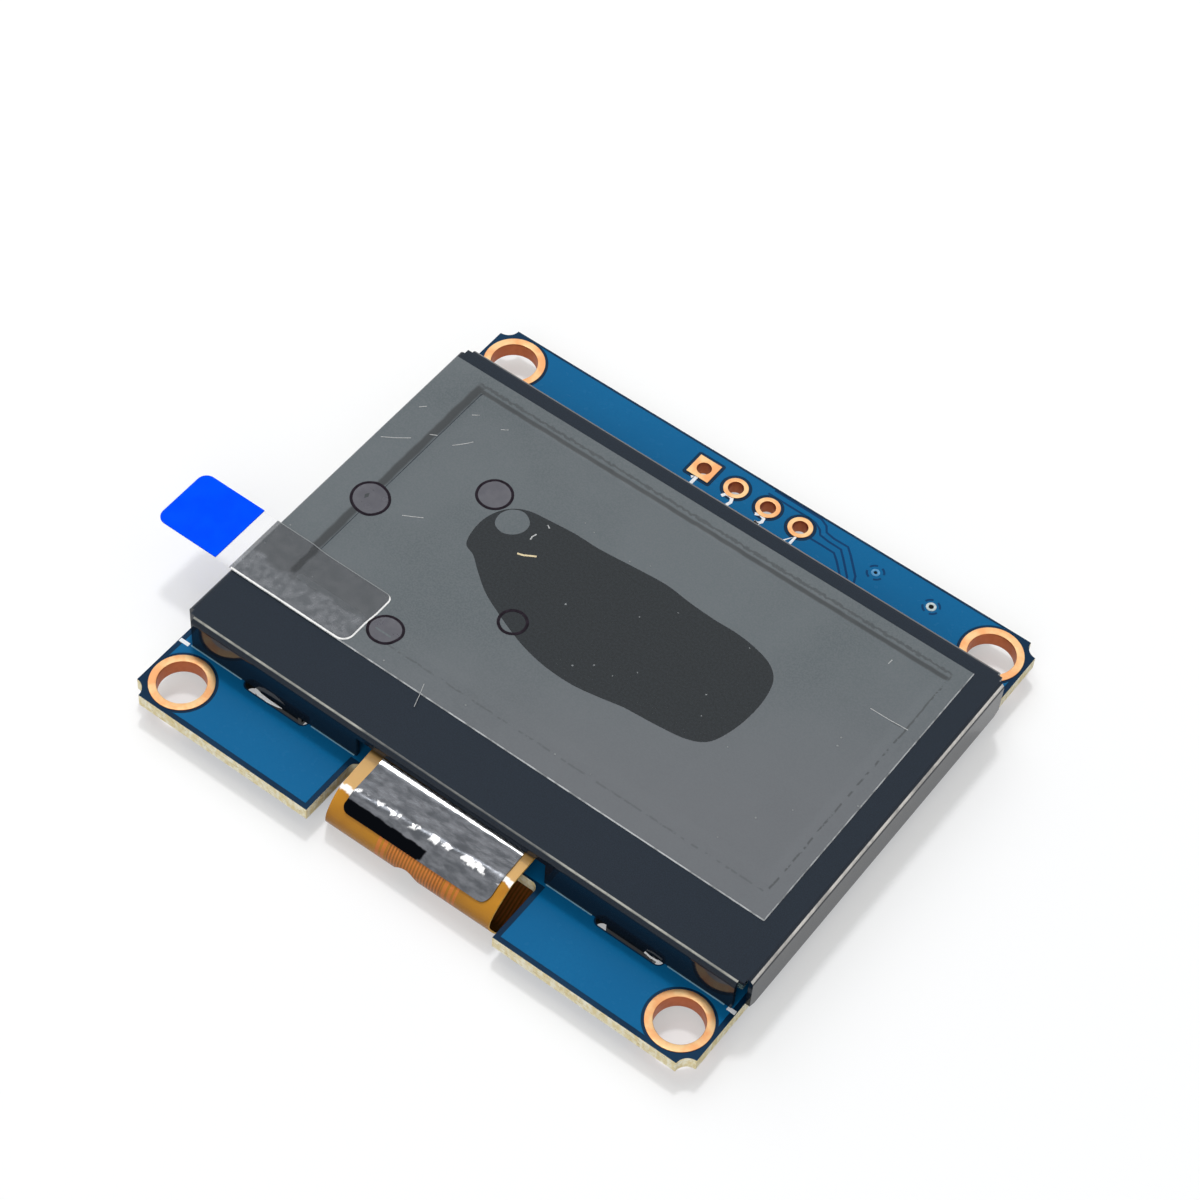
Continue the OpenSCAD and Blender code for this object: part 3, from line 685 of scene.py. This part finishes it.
def pour_outline(near, far, side):
    """A copper pour's outline: none beyond the ring centres in the corners, none in the notch."""
    x0, y0, x1, y1 = bx0 + side, by0 + near, bx1 - side, by1 - far
    nx, ny = NOTCH_X + near, NOTCH_Y + near * 0.4
    return [(-hole_x, y0), (-nx, y0), (-nx, ny), (nx, ny), (nx, y0), (hole_x, y0),
            (hole_x, -hole_y), (x1, -hole_y), (x1, hole_y), (hole_x, hole_y),
            (hole_x, y1), (-hole_x, y1), (-hole_x, hole_y), (x0, hole_y), (x0, -hole_y),
            (-hole_x, -hole_y)]


def slot_gap(x, y, grow):
    """The outline left clear round one of the bezel's slots."""
    hx, hy = SLOT_HALF[0] + grow, SLOT_HALF[1] + grow
    return rounded(x - hx, y - hy, x + hx, y + hy, [hy - 0.02] * 4, 6)


def arc(cx, cy, r, middle, span, n=7):
    angles = [math.radians(middle + span * (i / (n - 1) - 0.5)) for i in range(n)]
    return [(cx + r * math.cos(a), cy + r * math.sin(a)) for a in angles]


# The gaps in the pour on both sides of the tracks, beside the pins
GAP_LINES = [
    [(0.8, 18.77), (4.5, 18.74), (5.05, 18.48), (5.36, 18.05), (6.02, 17.93), (7.1, 17.95),
     (7.6, 17.5),
     (8.78, 16.3), (9.0, 15.8), (9.0, 14.6)],
    [(0.6, 18.3), (2.24, 18.3), (4.35, 18.25), (4.9, 17.95), (5.15, 17.62), (5.84, 17.52),
     (6.85, 17.5),
     (7.5, 16.86), (8.42, 15.9), (8.5, 14.6)],
    [(4.7, 17.0), (5.44, 17.0), (6.66, 16.98), (7.15, 16.56), (7.9, 15.8), (8.0, 14.6)],
]
VIAS = [(9.62, 17.36), (13.89, 17.34)]
top_holes = [circle(sx * hole_x, sy * hole_y, ring_r + 0.16, 64)
             for sx in (-1, 1) for sy in (-1, 1)]
top_holes += [circle(x, y, pad_r + 0.2, 32) for x, y in pin_at[1:]]
px, py = pin_at[0]
square = pad_r + 0.2
top_holes.append(rounded(px - square, py - square, px + square, py + square, [0.15] * 4, 4))
top_holes += [slot_gap(x, y, 0.07) for x, y in SLOTS]
top_holes.append(circle(*VIAS[1], 0.28, 24))
grooves = [strip(t, 0.16) for t in GAP_LINES]
grooves += [strip(arc(x, y, 0.56, a, 56), 0.15) for x, y in VIAS for a in (45, 135, 225, 315)]
pts, tris, which = flat_mesh(dense(pour_outline(0.33, 0.15, 0.33), 2.0), top_holes, grooves)
v, f, rim, _ = sheet_solid(pts, tris, level(bz1 + 0.022), 0.05, 0.035)
which = [1 if w else 0 for w in which]
piece("copper_pour_top", v, f, "solder_mask", [MASK, GROOVE], which + which + [0] * (len(f) - rim))

# A closed pour on the back, clear of the holes and pins
back_holes = [circle(sx * hole_x, sy * hole_y, ring_r + 0.3, 64)
              for sx in (-1, 1) for sy in (-1, 1)]
back_holes += [circle(x, y, pad_r + 0.22, 32) for x, y in pin_at]
back_holes += [slot_gap(x, y, 0.3) for x, y in SLOTS]
pts, tris, _ = flat_mesh(dense(pour_outline(0.42, 0.3, 0.42), 2.0), back_holes)
v, f, _, _ = sheet_solid(pts, tris, level(bz0), 0.018)
piece("copper_pour_back", v, f, "solder_mask", [MASK])


def board_marks(outlines, name, paint, lift=0.034):
    """Flat marks on the board's top."""
    parts = []
    for outline in outlines:
        pts, tris, _ = flat_mesh(outline)
        parts.append(sheet_solid(pts, tris, level(bz1 + lift), 0.03, 0.01)[:2])
    return piece(name, *join(parts), "solder_mask", [paint])


def bar(x0, x1, y_in, y_out, side):
    ys = sorted((side * y_in, side * y_out))
    return rounded(x0, ys[0], x1, ys[1], [0.02] * 4, 3)


corner_bars = [bar(*xs, 14.1, 14.38, sy)
               for xs in ((-21.15, -20.4), (20.55, 21.15)) for sy in (-1, 1)]
board_marks(corner_bars, "silkscreen_frame", SILK)
# Thin pale lines along the bezel's base.
edge_bars = [bar(*xs, 14.12, 14.23, sy)
             for xs in ((-20.3, -16.2), (-10.7, -7.3), (7.3, 10.7), (16.2, 20.3)) for sy in (-1, 1)]
board_marks(edge_bars, "pale_edge_lines", PALE)

DIGITS = {
    "1": [[(0.2, 0.8), (0.5, 1.0), (0.5, 0.0)], [(0.22, 0.0), (0.78, 0.0)]],
    "2": [[(0.1, 0.78), (0.25, 0.96), (0.5, 1.0), (0.78, 0.94), (0.9, 0.74), (0.8, 0.5),
           (0.1, 0.0), (0.95, 0.0)]],
    "3": [[(0.1, 0.88), (0.45, 1.0), (0.8, 0.9), (0.85, 0.7), (0.7, 0.55), (0.4, 0.53)],
          [(0.4, 0.53), (0.75, 0.5), (0.92, 0.3), (0.8, 0.08), (0.45, 0.0), (0.08, 0.12)]],
    "4": [[(0.7, 0.0), (0.7, 1.0), (0.05, 0.3), (0.98, 0.3)]],
}
DIGIT_Y, DIGIT_H, DIGIT_LINE = 15.0, 1.55, 0.25
strokes = []
for i, (x, y) in enumerate(pin_at):
    for stroke in DIGITS[str(i + 1)]:
        strokes.append(strip([(x - 0.5 + a, DIGIT_Y + DIGIT_H * b) for a, b in stroke], DIGIT_LINE))
board_marks(strokes, "pin_numbers", SILK, 0.036)


def collar(cx, cy, inner, outer):
    """A via's raised ring."""
    return lathe([(inner, 0.96), (outer, 0.96), (outer, 1.035), (outer - 0.02, 1.05),
                  (inner + 0.02, 1.05), (inner, 1.035)], cx, cy, 32)


piece("via_ring", *collar(*VIAS[1], 0.17, 0.34), "solder", [TIN])
piece("via_tented", *collar(*VIAS[0], 0.13, 0.29), "solder_mask", [TENTED])
# Dark discs over the vias' holes: painted shade for the bores.
board_marks([circle(*VIAS[1], 0.2, 20), circle(*VIAS[0], 0.12, 20)], "via_bores", BORE_SHADE, 0.024)

# Bare cut steel of the folded feet, seen at the slots' outer ends, coloured white as a painted
# highlight.
feet = [
    [(-15.16, -14.13), (-15.05, -14.36), (-14.7, -14.49), (-13.9, -14.5), (-13.3, -14.42),
     (-12.88, -14.3), (-13.3, -14.28), (-14.0, -14.27), (-14.6, -14.22), (-14.95, -14.13)],
    strip([(14.61, -14.24), (15.1, -14.31), (15.73, -14.26)], 0.11),
]
parts = []
for foot in feet:
    pts, tris, _ = flat_mesh(foot)
    parts.append(sheet_solid(pts, tris, level(bz1 + 0.05), 0.05, 0.01)[:2])
piece("foot_edges", *join(parts), "bezel_black", [STEEL_HIGHLIGHT])


# ---- protective film ----

# The dip's centre and half sizes, the painted shade lines' left, right, near and far places, then
# the outlines of the wet patch and of the dry spot in it
WINDOW = (0.33, 2.125, 18.3, 9.625)
WINDOW_SHADE = (-17.9, 18.6, -8.05, 11.75)
BLOB = [(-10.83, 1.17), (-11.2, 2.5), (-11.1, 3.85), (-10.5, 5.0), (-9.4, 5.7), (-7.7, 5.95),
        (-6.0, 6.1), (-4.1, 6.1),
        (-2.35, 6.26), (-0.6, 6.42), (1.0, 6.5), (2.85, 6.3), (4.7, 6.2), (6.5, 6.23),
        (8.15, 6.0), (9.4, 5.55), (10.2, 4.75),
        (10.56, 3.5), (10.63, 2.0), (10.4, 0.25), (9.8, -1.35), (8.6, -2.1), (6.7, -2.4),
        (5.0, -2.55), (4.1, -2.65),
        (2.7, -2.95), (0.8, -3.25), (-1.2, -3.22), (-3.0, -2.9), (-4.4, -2.45), (-5.9, -1.85),
        (-7.5, -1.1), (-8.9, -0.1),
        (-9.95, 0.75)]
DRY = [(-10.41, 3.55), (-10.66, 4.35), (-10.3, 5.1), (-9.5, 5.42), (-8.75, 5.0), (-8.6, 4.3),
       (-8.95, 3.65), (-9.65, 3.3)]


def blend01(t):
    t = min(max(t, 0.0), 1.0)
    return t * t * (3 - 2 * t)


def dip(x, y):
    """How far the film lies below the bezel's face at a point."""
    wcx, wcy, whx, why = WINDOW
    d = min(whx - abs(x - wcx), why - abs(y - wcy))
    sink = 0.2 * blend01((d + 0.2) / 1.2)
    wave = 0.018 * noise.noise(Vector((x * 0.35, y * 0.35, 3.1))) * blend01(d / 2)
    return sink + wave


def on_film(z):
    """A place for sheet_solid: the film's surface, z high where it lies on the bezel."""
    def place(x, y):
        e = 0.05
        slope_x = (dip(x + e, y) - dip(x - e, y)) / (2 * e)
        slope_y = (dip(x, y + e) - dip(x, y - e)) / (2 * e)
        return Vector((x, y, z - dip(x, y))), Vector((slope_x, slope_y, 1)).normalized()
    return place


def around(grow):
    """The window's outline, grown."""
    wcx, wcy, whx, why = WINDOW
    return rounded(wcx - whx - grow, wcy - why - grow,
                   wcx + whx + grow, wcy + why + grow, [0.35] * 4, 5)


blob = smooth_loop(BLOB, 5)
dry = smooth_loop(DRY, 6)
outline = dense(rounded(fx0, fy0, fx1, fy1, [0.05] * 4, 3), 0.8)
bands = [dense(around(0.2 - 0.2 * k), 0.4) for k in range(7)]
pts, tris, which = flat_mesh(outline, (), bands + [blob, dry], 0.6)
which = [1 if w == len(bands) + 1 else 0 for w in which]
v, f, rim, _ = sheet_solid(pts, tris, on_film(fz1), fz1 - fz0, 0.055)
which = which + which + [2] * (len(f) - rim)
FILM = film_paint("film_paint", WINDOW_SHADE)
film = piece("peel_film", v, f, "clear_film", [FILM, wet_paint(), EDGE], which, 25.0)
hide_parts("protective_film")

# Stuck part and free end of the pull tab
tab = dense(rounded(tx0, ty0, tx1, ty1, [0.7, 0.8, 0.5, 0.7], 8), 0.6)
pts, tris, _ = flat_mesh(tab, (), [], 0.8)
v, f, rim, _ = sheet_solid(pts, tris, on_film(tz1), tz1 - tz0, 0.09)
which = [0] * rim + [1] * (len(f) - rim)
which = [2 if w == 1 and sum(v[i].x for i in face) / len(face) < wx0 else w
         for w, face in zip(which, f)]
CLEAR = tab_paint(wx0, -7.8)
o = piece("pull_tab_film", v, f, "clear_film", [CLEAR, TAB_EDGE, CLEAR], which, 25.0)
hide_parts("pull_tab")

# Trapped bubbles with dark rims: centre and radius of each. The smallest has no fill.
BUBBLES = ((-17.69, 0.12, 1.22), (-11.86, 5.38, 1.14), (-10.52, -7.22, 1.1), (-4.85, -1.8, 0.9))
RIM_HALF, RIM_STEPS, FILLED_OVER = 0.1, 72, 1.0
RIM_SECTION = ((-RIM_HALF, 0), (-RIM_HALF * 0.5, 0.012), (RIM_HALF * 0.5, 0.012), (RIM_HALF, 0),
               (0, -0.01))
parts, fills = [], []
for x, y, r in BUBBLES:
    n, k = RIM_STEPS, len(RIM_SECTION)
    verts, faces = [], []
    for i in range(n):
        t = 2 * math.pi * i / n
        wob = 1 + 0.02 * noise.noise(Vector((math.cos(t) * 1.5 + x, math.sin(t) * 1.5, y)))
        for dr, dz in RIM_SECTION:
            rr = r * wob + dr
            qx, qy = x + rr * math.cos(t), y + rr * math.sin(t)
            verts.append((qx, qy, fz1 - dip(qx, qy) + dz + 0.012))
    for i in range(n):
        for j in range(k):
            a, b = i * k + j, i * k + (j + 1) % k
            faces.append((a, b, (b + k) % (k * n), (a + k) % (k * n)))
    parts.append((verts, faces))
    if r > FILLED_OVER:
        pts, tris, _ = flat_mesh(circle(x, y, r - 0.05, 48), (), [], 0.5)
        fills.append(sheet_solid(pts, tris, on_film(fz1 + 0.014), 0.008)[:2])
piece("bubble_rims", *join(parts), "clear_film", [RIM])
piece("bubbles", *join(fills), "clear_film", [BUBBLE])


def on_face(lines, name, paint):
    """Fine marks lying on the film: each is points and a width."""
    parts = []
    for points, width in lines:
        outline = strip(points, width) if len(points) > 1 else circle(*points[0], width / 2, 9)
        pts, tris, _ = flat_mesh(outline)
        parts.append(sheet_solid(pts, tris, on_film(fz1 + 0.02), 0.02, 0.004)[:2])
    return piece(name, *join(parts), "clear_film", [paint])


on_face([([(-7.89, 2.57), (-7.5, 2.7), (-7.1, 2.95), (-6.79, 3.14)], 0.13)], "fibres", FIBRE)
scratches = [
    ([(-6.11, -8.95), (-5.84, -9.68), (-5.53, -10.64)], 0.04),
    ([(-7.91, 3.94), (-7.96, 4.2), (-7.86, 4.53)], 0.1), ([(-7.75, 5.55), (-7.51, 5.42)], 0.08),
    ([(16.01, 6.77), (17.4, 6.79), (18.74, 6.74)], 0.05), ([(15.0, 10.23), (15.03, 10.62)], 0.06),
    ([(-20.29, 4.37), (-19.5, 4.9), (-18.74, 5.51)], 0.05),
    ([(-16.41, 6.82), (-15.9, 7.4), (-15.54, 7.9)], 0.05),
    ([(-15.35, 0.39), (-14.8, 0.7), (-14.18, 1.07)], 0.05), ([(-19.95, 7.85), (-19.6, 8.2)], 0.05),
    ([(-17.0, 9.6), (-16.6, 9.9)], 0.05), ([(-18.0, 6.5), (-17.6, 6.8)], 0.05),
    ([(-14.8, 9.8), (-14.4, 10.1)], 0.05),
]
specks = [(-6.02, 7.18), (-5.15, 6.94), (-2.03, 6.5), (-0.82, 7.04), (2.67, 5.19),
          (0.99, 3.44), (-3.15, 1.34),
          (-0.02, -2.1), (0.99, -1.24), (3.39, -0.03), (7.62, 1.28), (10.87, -1.01),
          (7.67, 5.8), (2.35, -1.18),
          (8.31, -0.17), (15.99, 3.23), (15.11, -4.08), (15.83, 3.87), (19.45, 0.32),
          (16.52, -2.26), (14.12, -6.59),
          (-9.09, -9.12), (-16.6, -6.87), (-3.2, -8.6), (3.15, -8.05), (5.68, -7.86),
          (-20.17, -4.72), (-20.5, -6.81)]
random.seed(4)
on_face(scratches, "film_scratches", DUST)
on_face([([spot], random.uniform(0.08, 0.15)) for spot in specks], "film_specks", SPECK)


# ---- flat cable and foil ----

def cubic(a, b, c, d, n=24):
    """A cubic Bezier curve's points."""
    out = []
    for i in range(n + 1):
        t, u = i / n, 1 - i / n
        out.append(tuple(u ** 3 * p + 3 * u * u * t * q + 3 * u * t * t * r + t ** 3 * s
                         for p, q, r, s in zip(a, b, c, d)))
    return out


# The cable's middle line in Y and Z, from under the bezel round to the back of the board
EXIT, RIDGE, NOSE = (-13.5, 2.39), (-16.35, 2.05), (-18.05, 0.5)
LOW, LAND = (-16.95, -0.85), (-14.2, -0.07)
line = [(-12.4, 2.39)]
line += cubic(EXIT, (-14.25, 2.3), (-15.4, 2.16), RIDGE)
ridge_at = len(line) - 1
line += cubic(RIDGE, (-16.85, 1.89), (-18.05, 1.3), NOSE)[1:]
nose_at = len(line) - 1
line += cubic(NOSE, (-18.05, -0.2), (-17.4, -0.85), LOW)[1:]
low_at = len(line) - 1
line += cubic(LOW, (-16.05, -0.85), (-15.3, -0.07), LAND)[1:]
land_at = len(line) - 1
line += [(-12.2, -0.07)]
run = [0.0]
for a, b in zip(line, line[1:]):
    run.append(run[-1] + math.dist(a, b))


def on_cable(offset):
    """A place for sheet_solid: x across and s along the cable's looped, slightly skewed middle
    surface, and offset from it."""
    def raw(x, s):
        i = 0
        while i < len(run) - 2 and run[i + 1] < s:
            i += 1
        t = (s - run[i]) / (run[i + 1] - run[i])
        y = line[i][0] + (line[i + 1][0] - line[i][0]) * t
        z = line[i][1] + (line[i + 1][1] - line[i][1]) * t
        rise = blend01((s - run[1]) / (run[ridge_at] - run[1]))
        fall = blend01((run[land_at] - s) / (run[land_at] - run[low_at] + 0.6))
        lift = blend01((run[low_at] - s) / (run[low_at] - run[nose_at]))
        out = blend01((s - run[ridge_at]) / (run[nose_at] - run[ridge_at]))
        w = min(rise, fall)
        slide = 0.07 * x * (1 - out) + 0.08 - 0.45 * out
        tilt = min(s / run[ridge_at], 1.0, lift)
        return Vector((x * (1 + 0.085 * (1 - lift)) + 0.15 * out * fall,
                       y + (slide + 0.12 * (1 - lift)) * w,
                       z + 0.025 * x * tilt))

    def place(x, s):
        e = 0.05
        a, b = raw(x, max(s - e, 0)), raw(x, min(s + e, run[-1]))
        c, d = raw(x - e, s), raw(x + e, s)
        n = (b - a).cross(d - c).normalized()
        return raw(x, s) + n * (offset(x, s) if callable(offset) else offset), n
    return place


half = (cable[1][0] - cable[0][0]) / 2
length = run[-1]
hole_s = run[nose_at] + 0.8
flex_outline = dense([(-half, 0), (half, 0), (half, length), (-half, length)], 0.25)
pts, tris, _ = flat_mesh(flex_outline, [circle(-0.05, hole_s, 0.95, 40)], [], 0.3)
v, f, rim, uv = sheet_solid(pts, tris, on_cable(0.05), 0.1, 0.02, True)
EDGE_AMBER = simple("cable_edge_paint", rgb(232, 186, 92), rgb(206, 152, 60), 0.3, 0.25)
which = [0] * len(tris) + [1] * len(tris) + [2] * (len(f) - rim)
flex = piece("cable_loop", v, f, "polyimide", [FLEX, FLEX_INSIDE, EDGE_AMBER], which, 40.0, uv)
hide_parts("flat_cable")


foil_x0, foil_x1 = -5.2, 5.55
foil_s0 = run[1] + 0.45
foil_s1 = run[ridge_at] + 1.54
LIP = (foil_s0, foil_s0 + 0.38)


def crease(x, s):
    """The foil's height over the cable: lifted along its top edge, crinkled below."""
    lip = 0.045 * min(max((LIP[1] - s) / (LIP[1] - LIP[0]), 0.0), 1.0)
    past = s - run[ridge_at]
    near_fold = 0.12 + 0.88 * blend01(1 - abs(past - 0.15) / 0.55) + 0.25 * blend01(past / 0.8)
    a = 0.03 * noise.noise(Vector((x * 0.8, s * 0.9, 1.7)))
    b = 0.016 * noise.noise(Vector((x * 2.1, s * 2.3, 5.2)))
    return 0.15 + lip + (a + b) * near_fold


foil_outline = [(x - 0.06 * max(-x, 0) * max(s - foil_s1 + 1.1, 0),
                 s + 0.02 * (x - foil_x1) * (s - foil_s0) / (foil_s1 - foil_s0))
                for x, s in rounded(foil_x0, foil_s0, foil_x1, foil_s1, [0.1, 0.1, 0.6, 0.7], 8)]
foil_outline = dense(foil_outline, 0.2)
pts, tris, _ = flat_mesh(foil_outline, (), [], 0.14)
v, f, rim, uv = sheet_solid(pts, tris, on_cable(crease), 0.06, 0.02, True)
# The range of the foil's painted black reflection; then the crease and the top band, which get
# painted highlights.
dark = (foil_x0 - 0.5, 0.75, run[ridge_at] + 0.46, foil_s1 + 0.1)
FOIL = foil_paint(dark, run[ridge_at] + 0.12, LIP[1] - 0.04)
foil = piece("foil_patch", v, f, "foil", [FOIL], None, 60.0, uv)
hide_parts("light_shield")


# ---- CAD nodes that stay ----

FINISH = {
    "board": BOARD, "bezel": BEZEL, "polarizer": POLARIZER, "front_glass": GLASS,
    "cap_glass": GLASS, "pixel_layer": PIXELS, "getter": GETTER, "driver_chip": SILICON,
    "foam_tape": FOAM, "solder_row": SOLDER, "pull_tab_grip": BLUE, "regulator": EPOXY,
    "regulator_leads": SOLDER, "pin_pad_1": COPPER,
}
for i in range(1, 5):
    FINISH[f"capacitor_{i}"] = TAN
    FINISH[f"resistor_{i}"] = CHIP
    FINISH[f"capacitor_ends_{i}"] = FINISH[f"resistor_ends_{i}"] = SOLDER
for name, paint in FINISH.items():
    o = frame["nodes"][name]
    if not o.material_slots:
        o.data.materials.append(paint)
    for s in o.material_slots:
        s.material = paint


# ---- stage, light and camera ----

def seen(tree):
    """1 for rays that show a surface in the picture, 0 for rays that only light others."""
    path = tree.nodes.new("ShaderNodeLightPath")
    straight = Val(tree, path.outputs["Is Camera Ray"])
    mirrored = Val(tree, path.outputs["Is Glossy Ray"])
    return straight.max(mirrored).max(Val(tree, path.outputs["Is Transmission Ray"]))


def staged_floor():
    size, z = 1.6, cad_box[0][2] - 0.00003
    mesh = bpy.data.meshes.new("floor")
    corners = [(-size, -size, z), (size, -size, z), (size, size, z), (-size, size, z)]
    mesh.from_pydata(corners, [], [(0, 1, 2, 3)])
    floor = bpy.data.objects.new("floor", mesh)
    bpy.context.scene.collection.objects.link(floor)
    p = Paint("floor_paint", (0.53, 0.535, 0.54, 1), 0.7, Specular_IOR_Level=0.2)
    p.set("Emission Color", (1, 1, 1, 1))
    p.set("Emission Strength", seen(p.tree) * 0.38)
    mesh.materials.append(p.mat)


def world():
    w = bpy.data.worlds.new("studio")
    bpy.context.scene.world = w
    w.use_nodes = True
    t = w.node_tree
    back = t.nodes["Background"]
    back.inputs["Color"].default_value = (1, 1, 1, 1)
    t.links.new((seen(t) * 0.62 + 0.38).socket, back.inputs["Strength"])


def area_light(name, toward, distance, spread, radiance, mirrored=True):
    """A round lamp spread degrees in half-angle; mirrored says whether shiny surfaces show it."""
    radius = distance * math.tan(math.radians(spread))
    d = bpy.data.lights.new(name, "AREA")
    d.shape, d.size, d.energy = "DISK", 2 * radius, radiance * math.pi ** 2 * radius ** 2
    o = bpy.data.objects.new(name, d)
    bpy.context.scene.collection.objects.link(o)
    v = Vector(toward).normalized()
    o.location = v * distance
    o.rotation_euler = v.to_track_quat("Z", "Y").to_euler()
    o.visible_glossy = mirrored


staged_floor()
world()
area_light("softbox", (-0.5, 0.42, 0.76), 1.0, 24, 1.9, False)
area_light("key", (-0.25, 0.33, 0.91), 1.0, 3.5, 94.0, False)
area_light("fill", (0.25, -0.75, 0.6), 1.0, 24, 1.9, False)
area_light("glint", (-0.3, 0.0, 0.95), 1.2, 5, 6.0)

cam = bpy.data.cameras.new("camera")
cam.lens, cam.sensor_width = 98.877, 36.0
cam.clip_start = 0.01
camera = bpy.data.objects.new("camera", cam)
bpy.context.scene.collection.objects.link(camera)
camera.location = (0.06422, -0.099333, 0.167479)
camera.rotation_euler = [math.radians(a) for a in (36.4887, -2.9925, 36.8365)]
bpy.context.scene.camera = camera
bpy.context.scene.view_settings.view_transform = "Standard"
